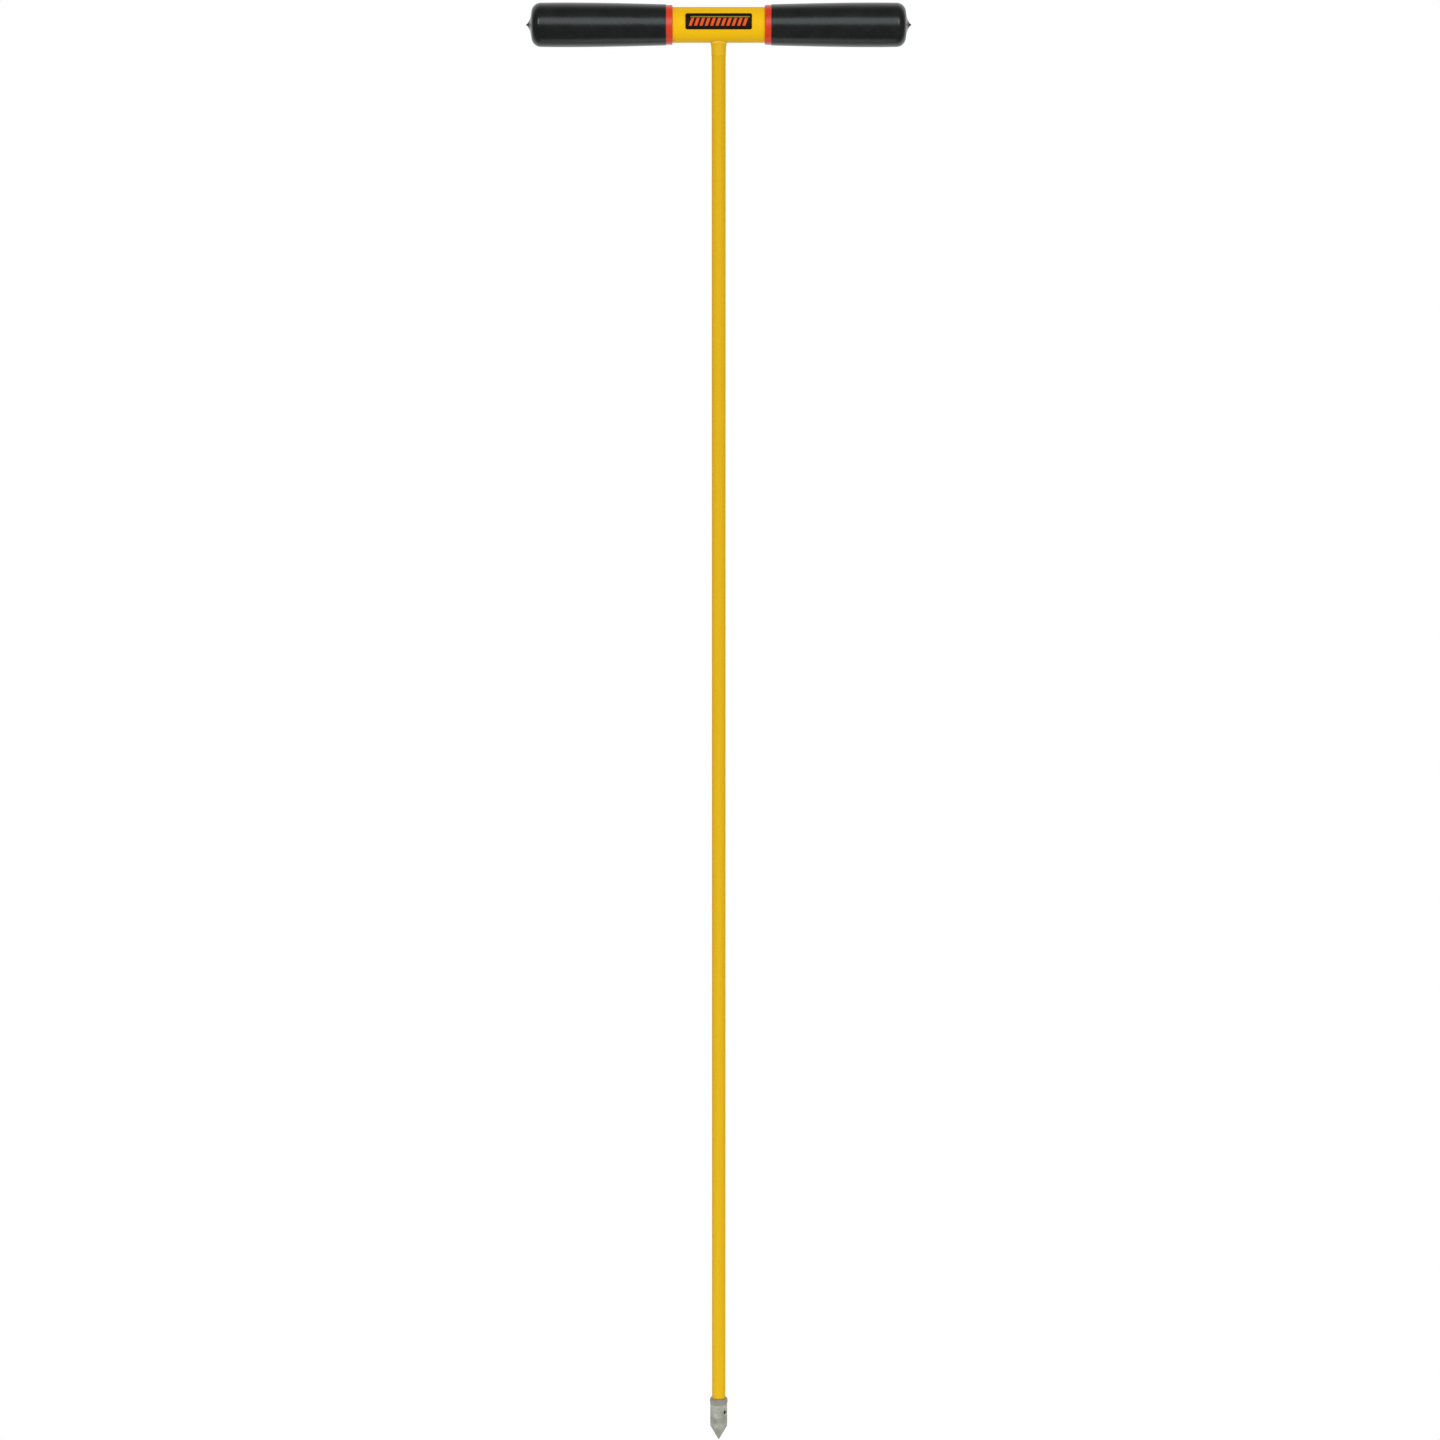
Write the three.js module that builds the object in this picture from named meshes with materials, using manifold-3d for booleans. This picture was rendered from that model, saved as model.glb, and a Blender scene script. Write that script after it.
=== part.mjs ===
// A T-handled soil probe: a glass-fibre rod bonded into a glass-fibre cross tube with dipped
// grips, and a pointed steel tip pinned on its lower end.
// Lengths are in millimetres and angles in degrees. Z is up, X runs along the handle and the
// front faces -Y. The origin is where the rod's axis crosses the handle's axis.

import * as THREE from "three";
import { mergeVertices } from "three/addons/utils/BufferGeometryUtils.js";
import Module from "manifold-3d";

const wasm = await Module();
wasm.setup();

// From the handle's axis down to the point
const reach = 1201;

// Gap kept all round by pieces that are glued, dipped, driven or seated on each other
const bondGap = 0.1;
// How far a cutting shape runs past what it cuts
const overrun = 1;

// Cross tube
const tubeRadius = 14.6;
const tubeWall = 3.2;
const tubeLength = 298;

// Plugs inside the tube: one that the rod ends in, and one that shuts each end
const jointPlugLength = 56;
const endPlugLength = 12;
const endPlugChamfer = 1;

// Rod. Its top end stands above the handle's axis by a share of the plug's radius.
const rodRadius = 5.75;
const rodChamfer = 0.5;
const rodRiseShare = 0.7;

// Adhesive squeezed out where the rod enters the tube: a thin sleeve down the rod, which
// thickens from its lower lip and flares out just under the tube
const beadHeight = 11;
const beadLip = 0.1;
const beadWall = 0.25;
const beadFlare = 1.05;
const beadFlarePower = 8;

// Under-grip: the first dip coat, whose edge shows as a ring
const bareHalf = 37.8;
const ringWidth = 5.4;
const underWall = 1.55;
const underEndWall = 1.55;
const underCorner = 3;
const underEdge = 0.8;

// Grip: the second dip coat, thin at its inner lip and thickest near its outer end
const gripLipWall = 0.45;
const gripLipEdge = 0.3;
const gripSwell = 1.4;
const gripTaper = 0.16;
const gripWidestShare = 0.77;
const gripEndWall = 3.2;
const gripCorner = 7.8;

// Drip nub that dipping leaves on the end of each grip, up to the last drop's centre
const nubHeight = 3.5;
const nubFlarePower = 4;
const dripRadius = 0.8;

// Label on the tube's front. Its height is measured round the tube.
const labelLength = 54.5;
const labelHeight = 13.7;
const labelThickness = 0.25;
const labelCorner = 1.5;
const labelLift = 12.6;

// Steel tip
const tipLength = 37;
const tipRadius = 7.3;
const tipConeAngle = 30;
const tipNose = 0.6;
const collarStep = 0.25;
const collarHeight = 4.2;
const shoulderRound = 1.5;
const socketDepth = 21;
const drillPointAngle = 59;

// Slotted spring pin through the tip and the rod, turned to the right of the front
const pinRadius = 1.6;
const pinWall = 0.5;
const pinSlot = 0.8;
const pinBelowRim = 12;
const pinRecess = 0.4;
const pinTurn = 48;

// Facets
const tubeSides = 48;
const rodSides = 32;
const pinSides = 20;
const swellSteps = 10;
const taperSteps = 3;
const cornerSteps = 5;
const edgeSteps = 3;
const nubSteps = 6;
const beadSteps = 10;

// Sizes that follow from the ones above
const tubeEnd = tubeLength / 2;
const plugRadius = tubeRadius - tubeWall - bondGap;
const rodHoleRadius = rodRadius + bondGap;
const rodTop = plugRadius * rodRiseShare;
const underBore = tubeRadius + bondGap;
const underRadius = underBore + underWall;
const underEnd = tubeEnd + bondGap + underEndWall;
const gripBore = underRadius + bondGap;
const gripLip = gripBore + gripLipWall;
const gripFace = gripLip + gripSwell - gripTaper - gripCorner;
const gripStart = bareHalf + ringWidth;
const gripEnd = underEnd + bondGap + gripEndWall;
const tipRim = tipLength - reach;
const rodBottom = tipRim - socketDepth + bondGap;
const pinHeight = tipRim - pinBelowRim;
const pinHoleRadius = pinRadius + bondGap;

const materials = {
  fibreglass: new THREE.MeshStandardMaterial({ color: 0xf2bd18, roughness: 0.4, metalness: 0 }),
  underCoat: new THREE.MeshStandardMaterial({ color: 0xdc4127, roughness: 0.45, metalness: 0 }),
  topCoat: new THREE.MeshStandardMaterial({ color: 0x201f1f, roughness: 0.5, metalness: 0 }),
  label: new THREE.MeshStandardMaterial({ color: 0x231912, roughness: 0.45, metalness: 0 }),
  resin: new THREE.MeshStandardMaterial({ color: 0xb8b09a, roughness: 0.7, metalness: 0 }),
  steel: new THREE.MeshStandardMaterial({ color: 0xa0a39b, roughness: 0.5, metalness: 0.9 }),
  pinSteel: new THREE.MeshStandardMaterial({ color: 0x5f6962, roughness: 0.45, metalness: 0.9 }),
};

const radians = THREE.MathUtils.degToRad;

// One point of a profile: its distance from the axis, and its place along it
function at(radius, height) {
  return new THREE.Vector2(radius, height);
}

// Points of a round, both ends included, with angles counted from the outward direction
function round(centre, radius, from, to, steps) {
  const points = [];
  for (let i = 0; i <= steps; i += 1) {
    const angle = radians(from + ((to - from) * i) / steps);
    points.push(at(centre.x + radius * Math.cos(angle), centre.y + radius * Math.sin(angle)));
  }
  return points;
}

// A profile turned about Z. It runs up the outside, and starts and ends on the axis or closes on itself.
function turned(profile, sides) {
  return new THREE.LatheGeometry(profile, sides).rotateX(radians(90));
}

// A round bar about Z between two heights
function bar(radius, bottom, top, sides) {
  return turned([at(0, bottom), at(radius, bottom), at(radius, top), at(0, top)], sides);
}

// The same solid laid along X
function alongX(geometry) {
  return geometry.rotateY(radians(90));
}

function solidOf(geometry) {
  const bare = geometry.clone();
  bare.deleteAttribute("normal");
  bare.deleteAttribute("uv");
  const merged = mergeVertices(bare);
  return new wasm.Manifold(
    new wasm.Mesh({
      numProp: 3,
      vertProperties: merged.attributes.position.array,
      triVerts: new Uint32Array(merged.index.array),
    }),
  );
}

function geometryOf(solid) {
  const mesh = solid.getMesh();
  const indexed = new THREE.BufferGeometry();
  indexed.setAttribute("position", new THREE.BufferAttribute(mesh.vertProperties, mesh.numProp));
  indexed.setIndex(new THREE.BufferAttribute(mesh.triVerts, 1));
  const geometry = indexed.toNonIndexed();
  geometry.computeVertexNormals();
  return geometry;
}

// A geometry with others cut out of it
function cut(geometry, ...cutters) {
  let solid = solidOf(geometry);
  for (const cutter of cutters) {
    solid = solid.subtract(solidOf(cutter));
  }
  return geometryOf(solid);
}

function piece(name, geometry, material) {
  const mesh = new THREE.Mesh(geometry, material);
  mesh.name = name;
  return mesh;
}

// The tube, with the rod's hole through its lower wall
function crossTube() {
  const bore = tubeRadius - tubeWall;
  const wall = [
    at(tubeRadius, -tubeEnd),
    at(tubeRadius, tubeEnd),
    at(bore, tubeEnd),
    at(bore, -tubeEnd),
    at(tubeRadius, -tubeEnd),
  ];
  const hole = bar(rodHoleRadius, -tubeRadius - overrun, 0, rodSides);
  return piece("cross_tube", cut(alongX(turned(wall, tubeSides)), hole), materials.fibreglass);
}

// A solid plug in the middle of the tube, with a blind bore that the rod ends in
function jointPlug() {
  const plug = alongX(bar(plugRadius, -jointPlugLength / 2, jointPlugLength / 2, tubeSides));
  const bore = bar(rodHoleRadius, -plugRadius - overrun, rodTop + bondGap, rodSides);
  return piece("joint_plug", cut(plug, bore), materials.resin);
}

// A plug flush with the tube's end, chamfered where it was pushed in
function endPlug(name) {
  const inner = tubeEnd - endPlugLength;
  const profile = [
    at(0, inner),
    at(plugRadius - endPlugChamfer, inner),
    at(plugRadius, inner + endPlugChamfer),
    at(plugRadius, tubeEnd),
    at(0, tubeEnd),
  ];
  return piece(name, alongX(turned(profile, tubeSides)), materials.resin);
}

// The rod, from the blind bore in the plug to the bottom of the tip's socket
function probeRod() {
  const profile = [
    at(0, rodBottom),
    at(rodRadius - rodChamfer, rodBottom),
    at(rodRadius, rodBottom + rodChamfer),
    at(rodRadius, rodTop - rodChamfer),
    at(rodRadius - rodChamfer, rodTop),
    at(0, rodTop),
  ];
  return piece("probe_rod", cut(turned(profile, rodSides), pinHole()), materials.fibreglass);
}

// A sleeve of adhesive round the rod, shaped on top by the tube's underside
function jointBead() {
  const bottom = -tubeRadius - beadHeight;
  const outside = [];
  for (let i = 0; i <= beadSteps; i += 1) {
    const share = i / beadSteps;
    const wall = beadLip + (beadWall - beadLip) * Math.sin(radians(90 * share));
    const width = wall + (beadFlare - beadWall) * share ** beadFlarePower;
    outside.push(at(rodHoleRadius + width, bottom + beadHeight * share));
  }
  const top = -tubeRadius / 2;
  const profile = [
    at(rodHoleRadius, bottom),
    ...outside,
    at(rodHoleRadius + beadFlare, top),
    at(rodHoleRadius, top),
    at(rodHoleRadius, bottom),
  ];
  const tubeSpace = alongX(bar(tubeRadius + bondGap, -tubeEnd, tubeEnd, tubeSides));
  return piece("joint_bead", cut(turned(profile, rodSides), tubeSpace), materials.fibreglass);
}

// The first dip coat: a closed sleeve over the tube's end
function underGrip(name) {
  const seat = tubeEnd + bondGap;
  const profile = [
    at(0, seat),
    at(underBore, seat),
    at(underBore, bareHalf),
    ...round(at(underRadius - underEdge, bareHalf + underEdge), underEdge, -90, 0, edgeSteps),
    ...round(at(underRadius - underCorner, underEnd - underCorner), underCorner, 0, 90, cornerSteps),
    at(0, underEnd),
  ];
  return piece(name, alongX(turned(profile, tubeSides)), materials.underCoat);
}

// Outline of the grip from its inner lip to its outer corner. Dipped with its end down, the
// coat sags towards that end, so it swells fast at first and then ever more slowly.
function gripOutline() {
  const widest = gripStart + (gripEnd - gripStart) * gripWidestShare;
  const cornerStart = gripEnd - gripCorner;
  const swellStart = gripStart + gripLipEdge;
  const points = round(at(gripLip - gripLipEdge, swellStart), gripLipEdge, -90, 0, edgeSteps);
  for (let i = 1; i <= swellSteps; i += 1) {
    const share = i / swellSteps;
    const swell = gripSwell * Math.sin(radians(90 * share));
    points.push(at(gripLip + swell, swellStart + (widest - swellStart) * share));
  }
  for (let i = 1; i < taperSteps; i += 1) {
    const share = i / taperSteps;
    const drop = gripTaper * (1 - Math.cos(radians(90 * share)));
    points.push(at(gripLip + gripSwell - drop, widest + (cornerStart - widest) * share));
  }
  return [...points, ...round(at(gripFace, cornerStart), gripCorner, 0, 90, cornerSteps)];
}

// Outline of the drip nub: a cone to the last drop, on the axis, that runs out into the end face
function nubOutline() {
  const points = [];
  for (let i = 1; i < nubSteps; i += 1) {
    const remaining = 1 - i / nubSteps;
    const spread = (remaining + remaining ** nubFlarePower) / 2;
    const radius = dripRadius + (gripFace - dripRadius) * spread;
    points.push(at(radius, gripEnd + nubHeight * (1 - remaining)));
  }
  return [...points, ...round(at(0, gripEnd + nubHeight), dripRadius, 0, 90, edgeSteps)];
}

// The second dip coat: a closed sleeve over the first, leaving the ring bare
function grip(name) {
  const seat = underEnd + bondGap;
  const corner = underCorner + bondGap;
  const cavity = [
    at(0, seat),
    ...round(at(gripBore - corner, seat - corner), corner, 90, 0, cornerSteps),
    at(gripBore, gripStart),
  ];
  const profile = [...cavity, ...gripOutline(), ...nubOutline()];
  return piece(name, alongX(turned(profile, tubeSides)), materials.topCoat);
}

// A thin curved patch: a ring round the tube, kept only inside a rounded rectangle
function frontLabel() {
  const inner = tubeRadius + bondGap;
  const outer = inner + labelThickness;
  const halfLength = labelLength / 2;
  const halfChord = inner * Math.sin(labelHeight / 2 / inner);
  const ring = [
    at(outer, -halfLength),
    at(outer, halfLength),
    at(inner, halfLength),
    at(inner, -halfLength),
    at(outer, -halfLength),
  ];
  const outline = new THREE.Shape();
  outline.moveTo(labelCorner - halfLength, -halfChord);
  outline.lineTo(halfLength - labelCorner, -halfChord);
  outline.quadraticCurveTo(halfLength, -halfChord, halfLength, labelCorner - halfChord);
  outline.lineTo(halfLength, halfChord - labelCorner);
  outline.quadraticCurveTo(halfLength, halfChord, halfLength - labelCorner, halfChord);
  outline.lineTo(labelCorner - halfLength, halfChord);
  outline.quadraticCurveTo(-halfLength, halfChord, -halfLength, halfChord - labelCorner);
  outline.lineTo(-halfLength, labelCorner - halfChord);
  outline.quadraticCurveTo(-halfLength, -halfChord, labelCorner - halfLength, -halfChord);
  const extent = { depth: outer + overrun, bevelEnabled: false, curveSegments: edgeSteps };
  const stamp = new THREE.ExtrudeGeometry(outline, extent);
  stamp.rotateX(radians(90));
  const patch = solidOf(alongX(turned(ring, tubeSides))).intersect(solidOf(stamp));
  const mesh = piece("front_label", geometryOf(patch), materials.label);
  mesh.rotation.x = -radians(labelLift);
  return mesh;
}

// A round cutter for the pin, right through the tip
function pinHole() {
  const half = tipRadius + collarStep + overrun;
  const cutter = bar(pinHoleRadius, -half, half, pinSides);
  return cutter.rotateX(radians(90)).rotateZ(radians(pinTurn)).translate(0, 0, pinHeight);
}

// The tip: blunt point, cone, plain shank, slightly larger collar with a rounded shoulder,
// and a drilled socket that the rod seats in
function steelTip() {
  const slope = radians(tipConeAngle);
  const coneTop =
    tipNose * (1 - Math.sin(slope)) + (tipRadius - tipNose * Math.cos(slope)) / Math.tan(slope);
  const collarRadius = tipRadius + collarStep;
  const collarBottom = tipLength - collarHeight;
  const socketBottom = tipLength - socketDepth;
  const drillPoint = rodHoleRadius / Math.tan(radians(drillPointAngle));
  const shoulderCentre = at(collarRadius - shoulderRound, tipLength - shoulderRound);
  const profile = [
    ...round(at(0, tipNose), tipNose, -90, -tipConeAngle, edgeSteps),
    at(tipRadius, coneTop),
    at(tipRadius, collarBottom - collarStep),
    at(collarRadius, collarBottom),
    ...round(shoulderCentre, shoulderRound, 0, 90, edgeSteps),
    at(rodHoleRadius, tipLength),
    at(rodHoleRadius, socketBottom),
    at(0, socketBottom - drillPoint),
  ];
  const blank = turned(profile, rodSides).translate(0, 0, -reach);
  return piece("steel_tip", cut(blank, pinHole()), materials.steel);
}

// A rolled strip of spring steel, so it has a slot along one side
function tipPin() {
  const inner = pinRadius - pinWall;
  const outerGap = Math.asin(pinSlot / 2 / pinRadius);
  const innerGap = Math.asin(pinSlot / 2 / inner);
  const full = 2 * Math.PI;
  const section = new THREE.Shape();
  section.absarc(0, 0, pinRadius, outerGap, full - outerGap, false);
  section.absarc(0, 0, inner, full - innerGap, innerGap, true);
  const length = 2 * (tipRadius - pinRecess);
  const extent = { depth: length, bevelEnabled: false, curveSegments: pinSides };
  const geometry = new THREE.ExtrudeGeometry(section, extent);
  geometry.translate(0, 0, -length / 2).rotateX(radians(90));
  const mesh = piece("tip_pin", geometry, materials.pinSteel);
  mesh.rotation.z = radians(pinTurn);
  mesh.position.z = pinHeight;
  return mesh;
}

// One end of the handle, built towards +X
function handleEnd(side) {
  const end = new THREE.Group();
  end.add(endPlug(`${side}_end_plug`), underGrip(`${side}_under_grip`), grip(`${side}_grip`));
  return end;
}

const handle = new THREE.Group();
const rightEnd = handleEnd("right");
const leftEnd = handleEnd("left");
leftEnd.rotation.z = Math.PI;
handle.add(crossTube(), jointPlug(), frontLabel(), leftEnd, rightEnd);

const shaft = new THREE.Group();
shaft.add(probeRod(), jointBead(), steelTip(), tipPin());

const probe = new THREE.Group();
probe.add(handle, shaft);

export default probe;
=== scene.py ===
from math import asin, atan, atan2, cos, degrees, pi, radians, sin, sqrt, tan

import bmesh
import bpy
from mathutils import Color, Matrix, Vector


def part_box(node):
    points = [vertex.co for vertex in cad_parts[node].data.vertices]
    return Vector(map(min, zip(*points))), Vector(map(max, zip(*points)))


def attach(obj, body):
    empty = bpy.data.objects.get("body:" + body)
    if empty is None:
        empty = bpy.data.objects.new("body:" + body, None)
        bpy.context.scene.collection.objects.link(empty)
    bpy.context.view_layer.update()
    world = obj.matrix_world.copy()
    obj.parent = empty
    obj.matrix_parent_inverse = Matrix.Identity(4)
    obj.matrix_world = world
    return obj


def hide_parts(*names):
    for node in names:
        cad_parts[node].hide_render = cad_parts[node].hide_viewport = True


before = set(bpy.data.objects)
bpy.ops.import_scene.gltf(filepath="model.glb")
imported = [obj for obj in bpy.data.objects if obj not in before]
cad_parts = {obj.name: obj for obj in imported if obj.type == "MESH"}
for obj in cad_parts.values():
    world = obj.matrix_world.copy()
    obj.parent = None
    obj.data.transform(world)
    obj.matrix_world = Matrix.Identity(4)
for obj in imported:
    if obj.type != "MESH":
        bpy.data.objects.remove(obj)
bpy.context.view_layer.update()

# A T-handled soil probe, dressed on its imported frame. Lengths are in metres, and mm turns
# millimetres into them. Z is up, X runs along the handle and the front faces -Y. The origin is
# where the rod's axis crosses the handle's axis.
mm = 0.001


# Cross tube
# Pultruded glass fibre with the yellow pigment in its resin, sawn to length and deburred. Its
# lower wall is drilled for the rod. The glass runs lengthwise and shows as faint streaks.

tube_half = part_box("cross_tube")[1].x
tube_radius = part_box("cross_tube")[1].z
tube_wall = 3.2 * mm
tube_rim = 0.3 * mm
rod_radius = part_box("probe_rod")[1].x
bond_gap = 0.1 * mm
overrun = 1 * mm
same_point = 0.001 * mm
same_point_after_cut = 0.002 * mm
sharp_edge = radians(33)
tube_steps = 160
rod_steps = 96
corner_steps = 8

along_handle = Vector((1, 0, 0))
along_rod = Vector((0, 0, 1))

tube_yellows = (241, 188, 8), (244, 192, 10), (247, 196, 12)

strand_size = 0.5 * mm
ribbon_size = 1.8 * mm
cloud_size = 4.5 * mm
pore_size = 0.35 * mm
fibre_depth = 0.02 * mm
fibre_run = 0.03
strand_tone = 0.35
ribbon_tone = 0.3
cloud_tone = 0.35
fibre_tones = 0.36, 0.5, 0.66
fibre_roughness = 0.42
ribbon_roughness = 0.16
fibre_specular = 0.1
strand_relief = 0.7
pore_relief = 0.3


def arc(centre, radius, start, end, steps=corner_steps):
    """Points of a round, both ends included, as places along an axis and distances out from it"""
    turns = [radians(start + (end - start) * i / steps) for i in range(steps + 1)]
    return [(centre[0] + radius * cos(turn), centre[1] + radius * sin(turn)) for turn in turns]


def eased(corners, steps=corner_steps):
    """An outline whose corners are rounded, each by its own radius: along, out and radius"""
    points = [Vector(corner[:2]) for corner in corners]
    outline = []
    for i, here in enumerate(points):
        radius = corners[i][2]
        if radius == 0:
            outline.append(tuple(here))
            continue
        before = (points[i - 1] - here).normalized()
        after = (points[(i + 1) % len(points)] - here).normalized()
        half = before.angle(after) / 2
        centre = here + (before + after).normalized() * radius / sin(half)
        first = (here + before * radius / tan(half) - centre).normalized()
        last = (here + after * radius / tan(half) - centre).normalized()
        outline += [tuple(centre + radius * first.slerp(last, k / steps)) for k in range(steps + 1)]
    return outline


def smoothed(shape, mesh):
    """Turns a finished shape into this mesh, smooth except at its sharp edges"""
    shape.to_mesh(mesh)
    shape.free()
    mesh.shade_smooth()
    mesh.set_sharp_from_angle(angle=sharp_edge)


def settled(name, shape):
    """The object of a finished shape"""
    mesh = bpy.data.meshes.new(name)
    smoothed(shape, mesh)
    made = bpy.data.objects.new(name, mesh)
    bpy.context.scene.collection.objects.link(made)
    return made


def turned(name, outline, axis, steps):
    """A piece turned about an axis. Its outline ends on the axis at both ends, or closes on itself."""
    out = along_rod if axis == along_handle else along_handle
    shape = bmesh.new()
    points = [shape.verts.new(axis * place + out * distance) for place, distance in outline]
    edges = [shape.edges.new(pair) for pair in zip(points, points[1:])]
    if outline[0][1] > 0:
        edges.append(shape.edges.new((points[-1], points[0])))
    bmesh.ops.spin(
        shape, geom=points + edges, cent=(0, 0, 0), axis=axis, angle=2 * pi, steps=steps, use_merge=True
    )
    bmesh.ops.remove_doubles(shape, verts=shape.verts, dist=same_point)
    bmesh.ops.recalc_face_normals(shape, faces=shape.faces)
    return settled(name, shape)


def bar(radius, bottom, top, steps):
    """A plain round bar along Z, for cutting holes"""
    return turned("cutter", [(bottom, 0), (bottom, radius), (top, radius), (top, 0)], along_rod, steps)


def drilled(made, cutter):
    """Takes the cutter's shape out of a piece, and then the cutter away"""
    cut = made.modifiers.new("cut", "BOOLEAN")
    cut.operation = "DIFFERENCE"
    cut.solver = "EXACT"
    cut.object = cutter
    whole = made.data
    with_cut = made.evaluated_get(bpy.context.evaluated_depsgraph_get())
    made.data = bpy.data.meshes.new_from_object(with_cut)
    made.modifiers.clear()
    bpy.data.objects.remove(cutter)
    bpy.data.meshes.remove(whole)
    shape = bmesh.new()
    shape.from_mesh(made.data)
    bmesh.ops.remove_doubles(shape, verts=shape.verts, dist=same_point_after_cut)
    bmesh.ops.dissolve_degenerate(shape, edges=shape.edges, dist=same_point_after_cut)
    smoothed(shape, made.data)


class Wire:
    """A node's output. It joins in sums as a number does, and each sum adds its Math nodes."""

    def __init__(self, socket):
        self.socket = socket

    def node(self, kind, settings, feeds, output=0):
        """Adds a node to the same tree: its settings first, then the values or wires of its sockets"""
        tree = self.socket.id_data
        made = tree.nodes.new(kind)
        for name, value in settings.items():
            setattr(made, name, value)
        for name, value in feeds.items():
            if isinstance(value, Wire):
                tree.links.new(value.socket, made.inputs[name])
            else:
                made.inputs[name].default_value = value
        return Wire(made.outputs[output]) if made.outputs else None

    def maths(self, operation, *others):
        return self.node("ShaderNodeMath", {"operation": operation}, dict(enumerate((self, *others))))

    def __add__(self, other):
        return self.maths("ADD", other)

    __radd__ = __add__

    def __sub__(self, other):
        return self.maths("SUBTRACT", other)

    def __rsub__(self, other):
        return self.maths("MULTIPLY_ADD", -1, other)

    def __mul__(self, other):
        return self.maths("MULTIPLY", other)

    __rmul__ = __mul__

    def __truediv__(self, other):
        return self.maths("DIVIDE", other)

    def __abs__(self):
        return self.maths("ABSOLUTE")


def paint(red, green, blue):
    """A colour as a screen shows it, 0 to 255, in the linear values that shaders take"""
    shown = Color((red / 255, green / 255, blue / 255))
    return (*shown.from_srgb_to_scene_linear(), 1)


def started(name):
    """A new material, and the place on the piece that its patterns read"""
    material = bpy.data.materials.new(name)
    material.use_nodes = True
    material.node_tree.nodes.clear()
    source = material.node_tree.nodes.new("ShaderNodeTexCoord")
    return material, Wire(source.outputs["Object"])


def surfaced(place, feeds):
    """Ends a material with its shader"""
    shader = place.node("ShaderNodeBsdfPrincipled", {}, feeds)
    shader.node("ShaderNodeOutputMaterial", {}, {"Surface": shader})


def scaled(place, amounts):
    """A place multiplied along X, Y and Z, so that a pattern on it runs long where the amount is small"""
    return place.node("ShaderNodeVectorMath", {"operation": "MULTIPLY"}, {0: place, 1: amounts})


def grain(place, size, detail=2.0):
    """Noise from 0 to 1 whose spots are about this size"""
    feeds = {"Vector": place, "Scale": 1 / size, "Detail": detail}
    return place.node("ShaderNodeTexNoise", {"noise_dimensions": "3D"}, feeds)


def step(value, start, end):
    """0 before start and 1 after end, with a smooth rise between"""
    feeds = {"Value": value, "From Min": start, "From Max": end}
    return value.node("ShaderNodeMapRange", {"interpolation_type": "SMOOTHSTEP"}, feeds)


def between(share, first, second):
    """The first colour where the share is 0, and the second where it is 1"""
    return share.node("ShaderNodeMix", {"data_type": "RGBA"}, {0: share, 6: first, 7: second}, 2)


def relief(height, depth):
    """A bump from a height of 0 to 1, which stands for this depth"""
    return height.node("ShaderNodeBump", {}, {"Height": height, "Distance": depth})


def fibreglass(name, yellows, lengthwise):
    """Pultruded glass fibre, from its deepest to its palest yellow, with its pattern run lengthwise"""
    material, place = started(name)
    run = scaled(place, lengthwise)
    strands = grain(run, strand_size, detail=3.0)
    ribbons = grain(run, ribbon_size)
    clouds = grain(run, cloud_size)
    tone = strand_tone * strands + ribbon_tone * ribbons + cloud_tone * clouds
    deep, middle, pale = yellows
    leaves_deep, at_middle, at_pale = fibre_tones
    colour = between(step(tone, leaves_deep, at_middle), paint(*deep), paint(*middle))
    colour = between(step(tone, at_middle, at_pale), colour, paint(*pale))
    texture = strand_relief * strands + pore_relief * grain(place, pore_size)
    surfaced(
        place,
        {
            "Base Color": colour,
            "Roughness": fibre_roughness + ribbon_roughness * ribbons,
            "Specular IOR Level": fibre_specular,
            "Normal": relief(texture, fibre_depth),
        },
    )
    return material


def fitted(made, node, material):
    """Puts a piece in the place of its solid, on the probe's one rigid body"""
    made.data.materials.append(material)
    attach(made, "root")
    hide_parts(node)


tube_bore = tube_radius - tube_wall
drill_clear = 2 * rod_radius
handle_tube = turned(
    "handle_tube",
    eased(
        [
            (-tube_half, tube_radius, tube_rim),
            (-drill_clear, tube_radius, 0),
            (drill_clear, tube_radius, 0),
            (tube_half, tube_radius, tube_rim),
            (tube_half, tube_bore, tube_rim),
            (drill_clear, tube_bore, 0),
            (-drill_clear, tube_bore, 0),
            (-tube_half, tube_bore, tube_rim),
        ]
    ),
    along_handle,
    tube_steps,
)
drilled(handle_tube, bar(rod_radius + bond_gap, -tube_radius - overrun, 0, rod_steps))
tube_finish = fibreglass("tube_glass_fibre", tube_yellows, (fibre_run, 1, 1))
fitted(handle_tube, "cross_tube", tube_finish)


# Plugs inside the tube
# A cast resin block fills the middle, where the rod ends, and a moulded plug shuts each end.
# None of them shows. They keep their solids and get the dull, slightly bubbly look of casting.

resin_light = (186, 178, 158)
resin_dark = (168, 158, 134)

resin_cloud_size = 6 * mm
resin_sheen_size = 2 * mm
bubble_size = 1.6 * mm
bubble_middle = 0.08
bubble_edge = 0.2
bubble_depth = 0.1 * mm
resin_roughness = 0.6
resin_roughness_spread = 0.2

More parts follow.
